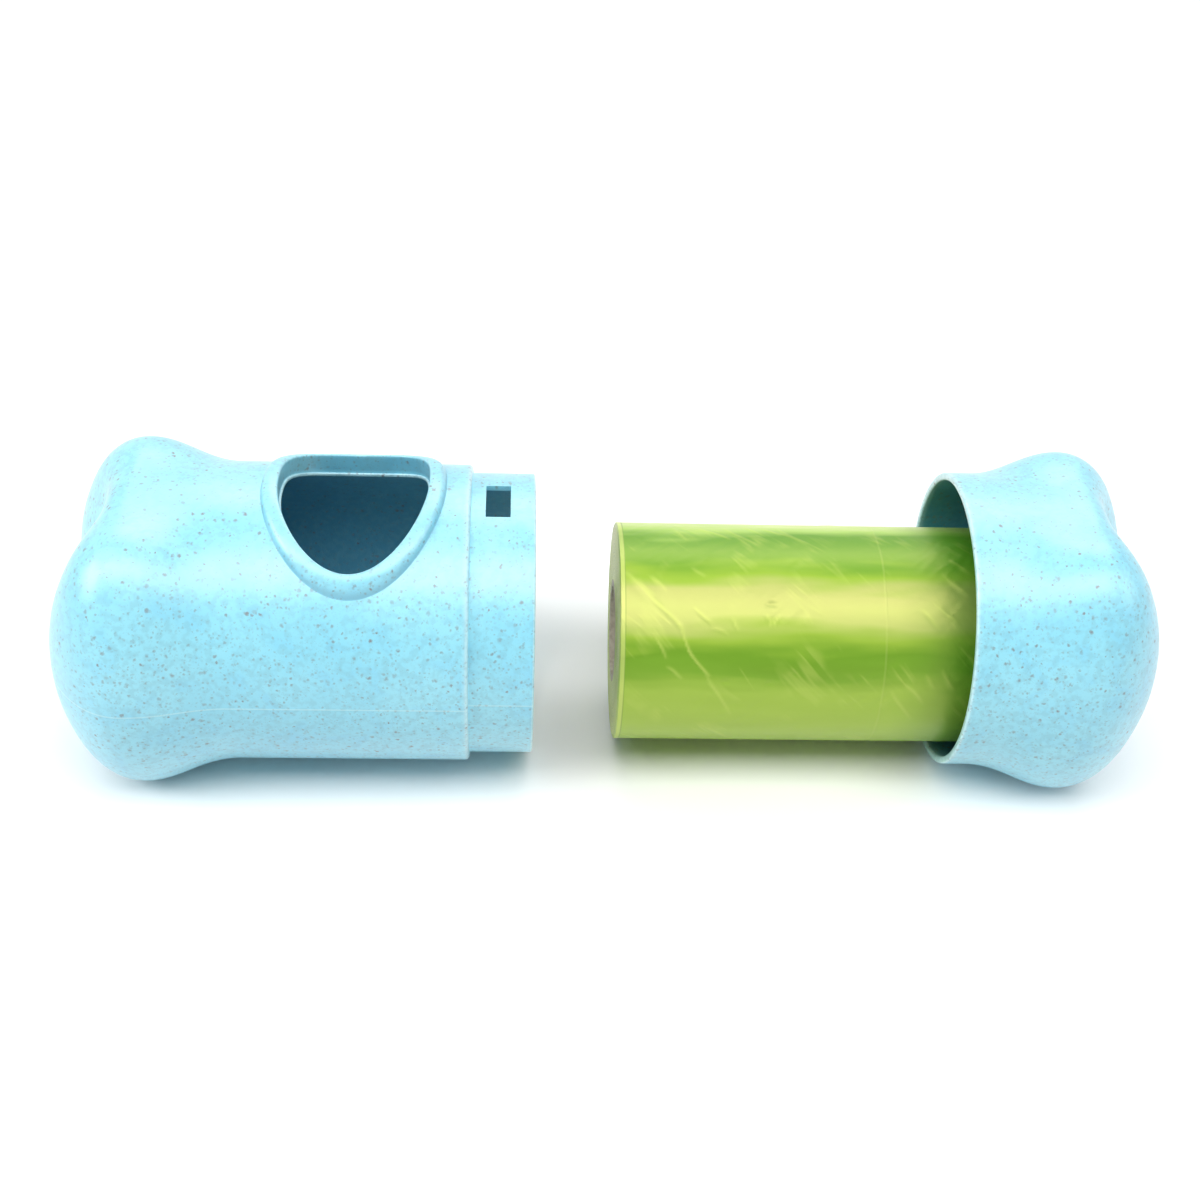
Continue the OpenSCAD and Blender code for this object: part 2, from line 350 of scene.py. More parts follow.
def drawArc(bm, last, radius, start, end, steps):   # degrees from the closed end's axis
    for step in range(0 if last is None else 1, steps + 1):
        turn = math.radians(start + (end - start) * step / steps)
        following = bm.verts.new((radius * math.cos(turn), 0, radius * math.sin(turn)))
        if last is not None:
            bm.edges.new((last, following))
        last = following
    return last


def turnRound(bm, steps):   # spins the drawn line once round the axis
    bmesh.ops.spin(bm, geom=bm.verts[:] + bm.edges[:], cent=(0, 0, 0), axis=(1, 0, 0),
                   angle=2 * math.pi, steps=steps, use_merge=True)
    bmesh.ops.remove_doubles(bm, verts=bm.verts, dist=layout["weld"])


def ringAt(bm, along, radius):   # the edges of one sharp ring
    def on(vert):
        return abs(vert.co.x - along) < 1e-3 and abs(math.hypot(vert.co.y, vert.co.z) - radius) < 1e-3
    return [edge for edge in bm.edges if all(on(vert) for vert in edge.verts)]


# corners are (along, radius, cuts before it), and an arc closes each end on the axis;
# edges are (along, radius, how far they are rounded, segments)
def lathe(corners, edges):
    bm = bmesh.new()
    last = drawArc(bm, None, corners[0][1], 0, 90, bone["domeRings"])
    for along, radius, cuts in corners[1:]:
        last = drawLine(bm, last, along, radius, cuts)
    polar = math.degrees(math.atan2(corners[-1][1], corners[-1][0]))
    drawArc(bm, last, math.hypot(*corners[-1][:2]), polar, 0, bone["hollowRings"])
    turnRound(bm, bone["around"])
    for along, radius, offset, segments in edges:
        bmesh.ops.bevel(bm, geom=ringAt(bm, along, radius), offset=offset, segments=segments,
                        profile=0.5, affect="EDGES", material=-1)
    shapeBoneEnd(bm)
    bmesh.ops.recalc_face_normals(bm, faces=bm.faces)
    return bm


def finishMesh(bm, name, toMetres=True):
    if toMetres:
        bmesh.ops.scale(bm, vec=(0.001, 0.001, 0.001), verts=bm.verts)
    for face in bm.faces:
        face.smooth = True
    mesh = bpy.data.meshes.new(name)
    bm.to_mesh(mesh)
    bm.free()
    piece = bpy.data.objects.new(name, mesh)
    bpy.context.collection.objects.link(piece)
    return piece


def writeMark(piece, name, values):   # for Paint.mark
    layer = piece.data.attributes.new(name, "FLOAT", "POINT")
    layer.data.foreach_set("value", values.astype(np.float32))


walls = {
    "soft": 0.25,            # the painted inside shade sets in over this depth
    "edgeHighlightGain": 1.6,         # above 1, a rim's painted highlight stays full before it fades
    "windowShade": 0.6,     # the windows' walls take part of the painted inside shade
    "windowRadius": 17.6,
    "windowSlack": 0.02,
}


# "inside" is 1 where a wall faces the hollow, for a painted shade there; "edge" is 1 along the thin edges,
# for a painted highlight there.
# rims are (along, lowest radius, highest radius, how far the painted highlight reaches)
def markWalls(piece, lobes, side, depth, rims):
    points = np.array([vert.co for vert in piece.data.vertices]) * 1000
    along, y, z = (points[:, 0] - lobes) * side, points[:, 1], points[:, 2] - layout["axisHeight"]
    radius = np.hypot(y, z)
    inside = np.clip((-boneDistance(along, y, z) - depth) / walls["soft"], 0, 1)
    edge = np.zeros(len(along))
    for at, low, high, reach in rims:
        near = np.clip(walls["edgeHighlightGain"] - walls["edgeHighlightGain"] * abs(along - at) / reach, 0, 1)
        edge = np.maximum(edge, np.where((radius > low) & (radius < high), near, 0))
    first, slack = -barrel["shoulder"] + barrel["windowNear"], walls["windowSlack"]
    long, wide = barrel["windowLength"] / 2, barrel["windowWidth"] / 2
    window = (abs(along + first + long) < long + slack) & (abs(y) < wide + slack) \
        & (radius < walls["windowRadius"]) & (side < 0)
    writeMark(piece, "inside", np.where(window, walls["windowShade"], inside))
    writeMark(piece, "edge", edge)


def sharpen(piece, degrees=32):   # edges steeper than this stay crisp
    piece.data.set_sharp_from_angle(angle=math.radians(degrees))


def cutWith(piece, cutters):
    for cutter in cutters:
        cut = piece.modifiers.new("cut", "BOOLEAN")
        cut.operation, cut.solver, cut.object = "DIFFERENCE", "EXACT", cutter
    bpy.context.view_layer.update()
    ready = piece.evaluated_get(bpy.context.evaluated_depsgraph_get())
    mesh = bpy.data.meshes.new_from_object(ready)
    piece.modifiers.clear()
    piece.data = mesh
    mesh.name = piece.name
    for cutter in cutters:
        bpy.data.objects.remove(cutter)


barrel = {
    "shoulder": -41.6,       # from the lobe plane
    "mouth": -49.7,
    "spigotRadius": 18.2,
    "shoulderRound": 0.5,
    "footRound": 0.12,       # where the spigot meets the shoulder
    "mouthRound": 0.3,
    "boreRound": 0.15,
    "windowNear": 1.85,      # from the shoulder
    "windowLength": 3.1,
    "windowWidth": 6.6,
    "windowCut": 60,         # the cutter passes through both sides
    "insideShadeDepth": 1.3,
}
barrel["rims"] = ((barrel["shoulder"], 18.7, 20, 0.6), (barrel["mouth"], 17, 18.3, 0.3))
slot = {
    "middle": -32.33,
    "width": 18.6,
    "point": 13.5,
    "crown": 9.8,
    "notch": 0.8,
    "shift": 1.0,
    "lobePower": 2 / 3,      # below 1, the heart's lobes are fuller than an ellipse
    "samples": 4000,
    "smoothings": 3,
    "stations": 260,
    "circle": 5,             # radius of the ring that is moved to the heart
    "cutPoints": 200,
    "cutGrow": 0.35,         # the cut is wider than the slot, and the band covers it
    "cutFrom": 2,            # over the axis
    "cutHeight": 30,
    # across the band: distance from the slot's edge along the skin, radius from the axis,
    # how much painted inside shade it takes, and how much painted highlight its edge takes
    "band": ((0.6, 17.44, 1, 0), (0.1, 17.44, 1, 0), (-0.18, 17.45, 1, 0.3), (-0.24, 17.52, 0.6, 1),
             (-0.24, 17.76, 0.2, 1), (-0.2, 17.83, 0, 1), (-0.03, 17.87, 0.2, 0.9), (0, 17.92, 0.5, 0),
             (0, 18.4, 0.5, 0), (0, 19.0, 0.45, 0), (0, 19.6, 0.4, 0), (0, 20.0, 0.3, 0),
             (0.03, 20.14, 0.1, 0.1), (0.1, 20.24, 0, 0.3), (0.22, 20.31, 0, 0.2), (0.45, 20.35, 0, 0),
             (0.9, 20.35, 0, 0), (1.3, 20.31, 0, 0), (1.58, 20.23, 0, 0.1), (1.8, 20.08, 0, 0.1),
             (1.95, 19.86, 0.15, 0), (2.03, 19.6, 0.4, 0), (2.07, 19.4, 0.5, 0), (2.12, 19.26, 0.5, 0),
             (2.3, 19.22, 0.3, 0), (2.6, 19.1, 0, 0)),
}


def heartLine(count):   # the slot's outline from above, evenly spaced, with its outward normals
    angle = np.radians(np.linspace(0, 360, slot["samples"] + 1)[:-1])
    across, up = np.cos(angle), np.sin(angle)
    side = np.sign(across) * abs(across) ** slot["lobePower"]
    notch = slot["notch"] * np.cos(np.minimum(abs(side) * math.pi, math.pi / 2)) ** 2
    crown = slot["crown"] * abs(up) ** slot["lobePower"] - notch
    half, upper = slot["width"] / 2, up >= 0
    x = half * np.where(upper, side, across)
    y = slot["shift"] + np.where(upper, crown, slot["point"] * up)
    line = np.stack([x, y], 1)
    step = np.linalg.norm(np.roll(line, -1, 0) - line, axis=1)
    along = np.concatenate([[0], np.cumsum(step)])
    wanted = np.linspace(0, along[-1], count + 1)[:-1]
    closed = np.vstack([line, line[:1]])
    even = np.stack([np.interp(wanted, along, closed[:, i]) for i in (0, 1)], 1)
    for _ in range(slot["smoothings"]):
        even = (np.roll(even, 1, 0) + 2 * even + np.roll(even, -1, 0)) / 4
    tangent = np.roll(even, -1, 0) - np.roll(even, 1, 0)
    normal = np.stack([tangent[:, 1], -tangent[:, 0]], 1)
    return even, normal / np.linalg.norm(normal, axis=1)[:, None]


def startRing(bm, count, filled):   # points in order round a circle
    ring = bmesh.ops.create_circle(bm, cap_ends=filled, segments=count, radius=slot["circle"])["verts"]
    return sorted(ring, key=lambda vert: math.atan2(vert.co.y, vert.co.x) % (2 * math.pi))


def heartRing(bm, ring, line, normal, station):
    out, radius, inside, edge = station
    marks = [(bm.verts.layers.float[name], value) for name, value in (("inside", inside), ("edge", edge))]
    for vert, point, way in zip(ring, line, normal):
        slope = math.sqrt(1 - (point[1] / bone["barrelRadius"]) ** 2)
        x, y = point[0] + way[0] * out, point[1] + way[1] * out * slope
        vert.co = (slot["middle"] + x, y, math.sqrt(radius * radius - y * y))
        for layer, value in marks:
            vert[layer] = value


def buildSlotBand():
    line, normal = heartLine(slot["stations"])
    bm = bmesh.new()
    bm.verts.layers.float.new("inside")
    bm.verts.layers.float.new("edge")
    ring = startRing(bm, slot["stations"], False)
    heartRing(bm, ring, line, normal, slot["band"][0])
    for station in slot["band"][1:]:
        loop = [bm.edges.get((first, second)) for first, second in zip(ring, ring[1:] + ring[:1])]
        grown = bmesh.ops.extrude_edge_only(bm, edges=loop)["geom"]
        known = set(item for item in grown if isinstance(item, bmesh.types.BMVert))
        following = []
        for old in ring:
            partner = [edge.other_vert(old) for edge in old.link_edges if edge.other_vert(old) in known]
            following.append(partner[0])
        ring = following
        heartRing(bm, ring, line, normal, station)
    bmesh.ops.recalc_face_normals(bm, faces=bm.faces)
    # the band's wall faces the slot and its top faces up
    top = max(bm.faces, key=lambda face: face.calc_center_median().z)
    if top.normal.z < 0:
        bmesh.ops.reverse_faces(bm, faces=bm.faces)
    bmesh.ops.translate(bm, vec=(0, 0, layout["axisHeight"]), verts=bm.verts)
    return finishMesh(bm, "slotBand")


def slotCutter():
    line, normal = heartLine(slot["cutPoints"])
    bm = bmesh.new()
    ring = startRing(bm, slot["cutPoints"], True)
    for vert, point, way in zip(ring, line, normal):
        x, y = point + way * slot["cutGrow"]
        vert.co = (slot["middle"] + x, y, 0)
    lifted = bmesh.ops.extrude_face_region(bm, geom=bm.faces[:])["geom"]
    lifted = [item for item in lifted if isinstance(item, bmesh.types.BMVert)]
    bmesh.ops.translate(bm, vec=(0, 0, slot["cutHeight"]), verts=lifted)
    bmesh.ops.translate(bm, vec=(0, 0, layout["axisHeight"] + slot["cutFrom"]), verts=bm.verts)
    bmesh.ops.recalc_face_normals(bm, faces=bm.faces)
    return finishMesh(bm, "slotCutter")


def windowCutter():
    bm = bmesh.new()
    bmesh.ops.create_cube(bm, size=1)
    size = (barrel["windowLength"], barrel["windowWidth"], barrel["windowCut"])
    bmesh.ops.scale(bm, vec=size, verts=bm.verts)
    near = layout["barrelLobes"] - barrel["shoulder"] + barrel["windowNear"]
    bmesh.ops.translate(bm, vec=(near + barrel["windowLength"] / 2, 0, layout["axisHeight"]), verts=bm.verts)
    return finishMesh(bm, "windowCutter")


def buildBarrel():
    big, bore, ledge = bone["barrelRadius"], bone["boreRadius"], bone["ledgeAt"]
    shoulder, mouth, spigot = barrel["shoulder"], barrel["mouth"], barrel["spigotRadius"]
    corners = ((0, big, 0), (-bone["flareLength"], big, 30), (shoulder, big, 30), (shoulder, spigot, 0),
               (mouth, spigot, 10), (mouth, bore, 0), (ledge, bore, 40), (ledge, bone["hollowRadius"], 0))
    edges = ((shoulder, big, barrel["shoulderRound"], 5), (shoulder, spigot, barrel["footRound"], 2),
             (mouth, spigot, barrel["mouthRound"], 4), (mouth, bore, barrel["boreRound"], 2))
    bm = lathe(corners, edges)
    bmesh.ops.scale(bm, vec=(-1, 1, 1), verts=bm.verts)
    bmesh.ops.reverse_faces(bm, faces=bm.faces)
    bmesh.ops.translate(bm, vec=(layout["barrelLobes"], 0, layout["axisHeight"]), verts=bm.verts)
    piece = finishMesh(bm, "barrelSkin")
    cutWith(piece, [slotCutter(), windowCutter()])
    return piece


cap = {
    "rim": -15.3,
    "skirtRadius": 18.3,     # bore that slides over the spigot
    "skirtDepth": 8.5,
    "rimRound": 0.25,
    "skirtRound": 0.3,
    "stepRound": 0.1,        # where the skirt's bore steps down
    "lugHeight": 0.6,
    "lugLength": 2.4,
    "lugWidth": 5.9,
    "lugFrom": 2.2,          # from the rim
    "lugTaper": 0.5,         # length of its top, as a share
    "lugSunk": 0.2,          # into the skirt's wall
    "lugCuts": 11,
    "insideShadeDepth": 0.5,
}
cap["rims"] = ((cap["rim"], 18.2, 20, 0.45),)


def buildCap():
    big, bore, ledge = bone["barrelRadius"], bone["boreRadius"], bone["ledgeAt"]
    rim, skirt, inner = cap["rim"], cap["skirtRadius"], cap["rim"] + cap["skirtDepth"]
    corners = ((0, big, 0), (rim, big, 40), (rim, skirt, 0), (inner, skirt, 8), (inner, bore, 0),
               (ledge, bore, 16), (ledge, bone["hollowRadius"], 0))
    edges = ((rim, big, cap["rimRound"], 4), (rim, skirt, cap["skirtRound"], 3),
             (inner, bore, cap["stepRound"], 2))
    bm = lathe(corners, edges)
    bmesh.ops.translate(bm, vec=(layout["capLobes"], 0, layout["axisHeight"]), verts=bm.verts)
    return finishMesh(bm, "capSkin")


def buildLugs():   # two sloped lugs that click into the spigot's windows
    bm = bmesh.new()
    middle = layout["capLobes"] + cap["rim"] + cap["lugFrom"] + cap["lugLength"] / 2
    for side in (1, -1):
        block = bmesh.ops.create_cube(bm, size=1)["verts"]
        bmesh.ops.scale(bm, vec=(cap["lugLength"], cap["lugWidth"], 1), verts=block)
        inward = [vert for vert in block if vert.co.z < 0]
        bmesh.ops.scale(bm, vec=(cap["lugTaper"], 1, 1), verts=inward)
        across = [edge for edge in bm.edges
                  if edge.verts[0] in block and abs(edge.verts[0].co.y - edge.verts[1].co.y) > 1]
        bmesh.ops.subdivide_edges(bm, edges=across, cuts=cap["lugCuts"], use_grid_fill=True)
        block = [vert for vert in bm.verts if not vert.tag]
        for vert in block:   # follow the round of the skirt
            radius = cap["skirtRadius"] + (cap["lugSunk"] if vert.co.z > 0 else -cap["lugHeight"])
            vert.co.z = side * math.sqrt(radius * radius - vert.co.y ** 2)
            vert.tag = True
    bmesh.ops.recalc_face_normals(bm, faces=bm.faces)
    bmesh.ops.translate(bm, vec=(middle, 0, layout["axisHeight"]), verts=bm.verts)
    return finishMesh(bm, "snapLugs")


# The roll of bags: wound film that is not quite round, with its creases
film = {
    "radius": 14.33,
    "hole": 6.8,
    "around": 400,
    "rows": 205,
    "faceCuts": 10,
    "holeCuts": 4,
    "edgeRound": 0.35,
    "skinDepth": 0.6,        # the outer layers, which follow the skin's waves
    "sunk": 0.05,            # the skin lies lower by this, as room for the wrinkles
    "calmEnd": 0.9,          # the wrinkles fade out towards both ends
    # waves round the roll: height, how many, phase, turn per millimetre along it
    "waves": ((0.05, 3, 0.4, 0.02), (0.035, 7, 1.9, 0), (0.02, 11, 0.3, 0.05)),
    # both ends: unevenness of the layers, its scale outwards and round, how far they stand back
    "unevenEnd": 0.12,
    "endScale": (2.5, 0.4),
    "endBack": 0.14,
    "endFrom": 0.2,          # outside the hole's edge
    # random wrinkles: direction, scale of their patches and of the wrinkles, height
    "slant": (0.67, 0.74),
    "patchScale": (0.07, 0.1),
    "patchGain": (2.4, 0.3),
    "wrinkleScale": (0.16, 1.0),
    "wrinkleSharp": 2.2,
    "wrinkleHeight": 0.04,
    "noisePlanes": (3.1, 7.7),
    "highestAngle": 230,     # an angle over this counts as 360 less
    # creases read off the photograph: start and end along the roll with their angles over its
    # near side in degrees, width, height; the last seven lie out of the photograph's sight
    "creases": ((0.7, 71, 5.7, 50.5, 0.3, 0.12), (4.5, 55.5, 8.2, 39.5, 0.25, 0.13),
                (7.4, 44, 9.3, 26, 0.2, 0.12), (8.5, 31, 11.6, 16, 0.2, 0.12),
                (10.6, 21, 14.8, -9, 0.24, 0.07), (4.1, 69.5, 6.0, 60, 0.25, 0.08),
                (2.2, 68, 4.6, 57, 0.28, 0.07), (9.3, 52.5, 11.8, 42.5, 0.22, 0.1),
                (14.2, 47, 15.0, 40, 0.2, 0.08), (4.3, 39.5, 6.0, 25.5, 0.22, 0.1),
                (6, 22, 8.2, 15, 0.25, 0.08), (11.4, 42, 13.9, 38.4, 0.22, 0.07),
                (9.2, 74, 11, 68, 0.25, 0.06), (7.3, 108, 9.0, 95, 0.22, 0.08),
                (10.6, 110, 14.7, 96, 0.25, 0.09), (13.9, 111, 16.0, 99, 0.22, 0.07),
                (16.5, 114.5, 19.0, 101, 0.22, 0.08), (18.6, 114, 21.4, 101, 0.22, 0.06),
                (38.0, 52.5, 40.6, 42, 0.3, 0.11), (40.2, 54, 42.8, 45, 0.25, 0.1),
                (42.4, 82, 45, 71, 0.25, 0.09), (41.2, 72.5, 44.4, 59, 0.3, 0.09),
                (40.9, 22, 42.8, 9, 0.25, 0.09), (36.4, 14, 39.2, 1, 0.28, 0.09),
                (34.6, 10, 38.0, -11, 0.28, 0.07), (38.8, 19, 40.4, 10, 0.25, 0.08),
                (18.5, 49, 19.1, 42, 0.2, 0.09), (20.1, 49, 19.3, 42, 0.2, 0.09),
                (44, 30, 47, 14, 0.3, 0.1), (46, 66, 50, 50, 0.3, 0.1),
                (12, -20, 16, -40, 0.3, 0.08), (25, 140, 31, 118, 0.3, 0.09),
                (6, 150, 12, 128, 0.3, 0.09), (28, 200, 34, 178, 0.3, 0.1), (40, 170, 45, 150, 0.3, 0.09)),
    "creaseSway": (0.3, 5.3),       # by a share of its width, how fast along it
    "creaseRise": (0.6, 0.6),       # share of its height, power of its fade to the ends
    "creaseDip": (0.3, 2.0, 1.4),   # beside it: share of its height, place and width in widths
    # small dents, also read off the photograph: place along the roll, angle, radius, depth
    "dents": ((19.1, 54, 0.6, 0.2), (13.6, 13.5, 0.45, 0.13), (19.2, 13, 0.45, 0.12), (22.4, 18.6, 0.6, 0.08),
              (27.0, 30, 0.7, 0.06), (31, 66, 0.8, 0.05), (34.5, 25, 0.7, 0.06)),
    "dentShort": 0.6,        # their size round the roll, as a share of that along it
    "creaseHighlightHeight": 0.06,    # a crease this high takes the full painted highlight
}


def wrinkles(x, arc):   # small random wrinkles in patches
    lean, rise = film["slant"]
    along, across = lean * x - rise * arc, rise * x + lean * arc
    patchPlane, wrinklePlane = film["noisePlanes"]
    patch = noise.noise(Vector((x * film["patchScale"][0], arc * film["patchScale"][1], patchPlane)))
    long, wide = film["wrinkleScale"]
    ridge = noise.noise(Vector((along * long, across * wide, wrinklePlane)))
    weight = min(max(patch * film["patchGain"][0] + film["patchGain"][1], 0), 1)
    return weight * (1 - abs(ridge) * film["wrinkleSharp"]) * film["wrinkleHeight"]


def drawnHeight(x, lift):   # the creases and dents of the dictionary
    radius, height = film["radius"], np.zeros(len(x))
    arc = np.radians(lift) * radius
    sway, pitch = film["creaseSway"]
    rise, power = film["creaseRise"]
    dip, beside, broad = film["creaseDip"]
    for x0, lift0, x1, lift1, width, tall in film["creases"]:
        arc0, arc1 = math.radians(lift0) * radius, math.radians(lift1) * radius
        dx, da = x1 - x0, arc1 - arc0
        share = ((x - x0) * dx + (arc - arc0) * da) / (dx * dx + da * da)
        on = (share > 0) & (share < 1)
        share = share[on]
        off = ((x[on] - x0) * da - (arc[on] - arc0) * dx) / math.hypot(dx, da)
        off = off + sway * width * np.sin(share * pitch + x0)
        fade = np.sin(math.pi * share)
        height[on] += rise * tall * np.exp(-(off / width) ** 2) * fade ** power
        height[on] -= dip * tall * np.exp(-((off - beside * width) / (broad * width)) ** 2) * fade
    for x0, lift0, size, deep in film["dents"]:
        short = film["dentShort"] * size
        away = ((x - x0) / size) ** 2 + ((arc - math.radians(lift0) * radius) / short) ** 2
        height -= deep * np.exp(-away)
    return height


def buildRoll():
    radius, hole, length = film["radius"], film["hole"], layout["rollLength"]
    bm = bmesh.new()
    last = bm.verts.new((0, 0, hole))
    for along, out, cuts in ((0, radius, film["faceCuts"]), (length, radius, film["rows"]),
                             (length, hole, film["faceCuts"]), (0, hole, film["holeCuts"])):
        last = drawLine(bm, last, along, out, cuts)
    turnRound(bm, film["around"])
    bmesh.ops.recalc_face_normals(bm, faces=bm.faces)
    x, y, z = np.array([vert.co for vert in bm.verts]).T
    r, turn = np.hypot(y, z), np.arctan2(z, y)
    lift = (180 - np.degrees(turn)) % 360
    lift = np.where(lift > film["highestAngle"], lift - 360, lift)
    edge = np.minimum(x, length - x)
    skin = np.clip((r - radius + film["skinDepth"]) / film["skinDepth"], 0, 1)
    lumps = sum(tall * np.sin(count * turn + phase + x * twist)
                for tall, count, phase, twist in film["waves"])
    rounding = -film["edgeRound"] * np.clip(1 - edge / film["edgeRound"], 0, 1) ** 2
    drawn = drawnHeight(x, lift)
    swell = np.array([wrinkles(*place) for place in zip(x, turn * radius)]) + drawn - film["sunk"]
    grown = r + skin * (lumps + rounding + swell * np.clip(edge / film["calmEnd"], 0, 1))
    # the wound layers stand a little uneven at both ends
    face = (edge < layout["slack"]) & (r > hole + film["endFrom"])
    outward, around = film["endScale"]
    uneven = np.array([noise.noise(Vector((a * outward, b * around, c))) for a, b, c in zip(r, turn, x)])
    x = x + face * (film["unevenEnd"] * uneven + np.where(x < 1, film["endBack"], -film["endBack"]))
    for vert, place in zip(bm.verts, zip(x, y * grown / r, z * grown / r)):
        vert.co = place
    bmesh.ops.translate(bm, vec=(layout["rollStart"], 0, layout["rollHeight"]), verts=bm.verts)
    piece = finishMesh(bm, "filmRoll")
    # painted highlight along the crests of the creases
    writeMark(piece, "streak", np.clip(drawn / film["creaseHighlightHeight"], 0, 1) * (skin > 0.9))
    return piece


bag = {
    "paleEdge": linear(222, 234, 140),
    "deepGreen": linear(72, 128, 28),
    # painted bands round the roll, by the angle over its near side in degrees. They were tuned
    # until the render came close to the photograph, so part of them stands for its light and gloss.
    # They lie on the film: they turn with it and stay under any other light.
    "bands": ((-180, linear(96, 154, 42)), (-120, linear(84, 144, 34)), (-70, linear(150, 190, 70)),
              (-20, linear(162, 200, 76)), (6, linear(148, 188, 66)), (18, linear(100, 156, 32)),
              (27, linear(88, 146, 20)), (36, linear(140, 180, 54)), (46, linear(182, 197, 108)),
              (61, linear(178, 188, 108)), (70, linear(134, 178, 46)), (79, linear(76, 146, 10)),
              (97, linear(70, 144, 10)), (108, linear(164, 206, 96)), (122, linear(208, 230, 146)),
              (150, linear(104, 160, 44)), (180, linear(96, 154, 42))),
    "bandNoise": {"Scale": 1.0, "Detail": 2.0},
    "bandStretch": (0.06, 0.3, 1.0),
    "bandSway": 0.5,
    "depthScale": 0.5,
    # pale colour of the painted highlight on crease and wrinkle crests
    "streak": linear(214, 230, 118),
    "creaseHighlightTone": 0.4,
    "ridges": {"Scale": 0.55, "Detail": 1.0},
    "ridgeTurn": -48,        # degrees
    "ridgeStretch": (7.0, 1.0, 2.0),
    "ridgeEase": (0.0, 0.1),
    "ridgeHighlightTone": 0.22,
    "patches": {"Scale": 0.14, "Detail": 2.0},
    "patchEase": (0.5, 0.68),
    # from the roll's start: the hem's edge, the line along it, and where one bag ends
    "hemEase": (0.75, 0.95),
    "hemTone": 0.45,
    "lineAt": 0.85,
    "lineEase": (0.03, 0.12),
    "lineTone": 0.5,
    "seamAt": 33.7,
    "seamEase": (0.05, 0.22),
    "seamTone": 0.09,
    # painted shade in place of the one that the cap throws on the film next to it in the photograph
    "shadeEase": (34.5, 44),
    "shadeTone": 0.65,
    "sideDepth": 0.5,        # the end faces begin this far under the skin
    "sideEase": (0.985, 1.0),
    "layers": {"Scale": 7.0, "Detail": 3.0},
    "layerEase": (0.4, 0.7),
    "layerTone": 0.35,
    "pits": {"Scale": 1.6, "Detail": 2.0},
    "heights": {"ridges": 0.025, "pits": 0.014, "seam": 0.015, "layers": 0.12},
    "roughness": 0.38,
    "roughSpread": 0.12,
    "constants": {"IOR": 1.95, "Specular Tint": (1.0, 0.86, 0.3, 1.0)},
}


def bagFilm():
    paint = newPaint("bag_film")
    where = paint.place()
    x, y, z = paint.axes(where)
    over = z - layout["rollHeight"]
    lift = over.calc("ARCTAN2", y * -1)
    radius = (y * y + over ** 2.0) ** 0.5
    rolledOut = {"X": x, "Y": lift * film["radius"], "Z": radius * bag["depthScale"]}
    flat = paint.node("ShaderNodeCombineXYZ", None, rolledOut)
    long = paint.node("ShaderNodeMapping", None, {"Vector": flat, "Scale": bag["bandStretch"]})
    sway = paint.cloud(long, bag["bandNoise"])
    share = (lift + (sway - 0.5) * bag["bandSway"]) / (2 * math.pi) + 0.5
    stops = [((angle + 180) / 360, colour) for angle, colour in bag["bands"]]
    base = paint.node("ShaderNodeValToRGB", {"stops": stops}, {0: share})
    turned = (0, 0, math.radians(bag["ridgeTurn"]))
    slanted = {"Vector": flat, "Rotation": turned, "Scale": bag["ridgeStretch"]}
    tilted = paint.node("ShaderNodeMapping", {"vector_type": "TEXTURE"}, slanted)
    crease = paint.cloud(tilted, bag["ridges"])
    patches = paint.cloud(flat, bag["patches"]).ease(*bag["patchEase"])
    layers = paint.node("ShaderNodeTexNoise", {"noise_dimensions": "1D"}, {"W": radius, **bag["layers"]})
    hem = 1 - (x - layout["rollStart"]).ease(*bag["hemEase"])
    line = 1 - abs(x - layout["rollStart"] - bag["lineAt"]).ease(*bag["lineEase"])
    seam = 1 - abs(x - layout["rollStart"] - bag["seamAt"]).ease(*bag["seamEase"])
    base = paint.blend(hem * bag["hemTone"], base, bag["paleEdge"])
    base = paint.blend(line * bag["lineTone"], base, bag["deepGreen"])
    base = paint.blend(seam * bag["seamTone"], base, bag["paleEdge"])
    ridge = (1 - abs(crease - 0.5).ease(*bag["ridgeEase"])) * patches
    # painted highlight along the crests of the drawn creases and of the small ridges
    base = paint.blend(paint.mark("streak") * bag["creaseHighlightTone"], base, bag["streak"])
    base = paint.blend(ridge * bag["ridgeHighlightTone"], base, bag["streak"])
    shade = (x - layout["rollStart"]).ease(*bag["shadeEase"])
    base = paint.blend(shade * bag["shadeTone"], base, bag["deepGreen"])
    side = 1 - (radius / (film["radius"] - bag["sideDepth"])).ease(*bag["sideEase"])
    base = paint.blend(side, base, bag["paleEdge"])
    base = paint.blend(side * layers.ease(*bag["layerEase"]) * bag["layerTone"], base, bag["deepGreen"])
    pits = paint.cloud(flat, bag["pits"])
    tall = bag["heights"]
    height = ridge * tall["ridges"] + pits * tall["pits"] + seam * tall["seam"]
    height = height + side * layers * tall["layers"]
    rough = pits * bag["roughSpread"] + (bag["roughness"] - bag["roughSpread"] / 2)
    return paint.finish({"Base Color": base, "Roughness": rough, "Normal": paint.relief(height),
                         **bag["constants"]})


core = {
    "paper": linear(222, 212, 190),
    "shade": linear(198, 186, 162),
    "pitch": 11.0,           # of the spiral seam
    "seamEase": (0.005, 0.02),
    "seamTone": 0.6,
    "seamDepth": 0.05,
    "fibre": {"Scale": 1.4, "Detail": 6.0},
    "fibreEase": (0.3, 0.7),
    "fibreHeight": 0.04,
    "roughness": (0.7, 0.2),   # lowest, and how much the fibres add
}


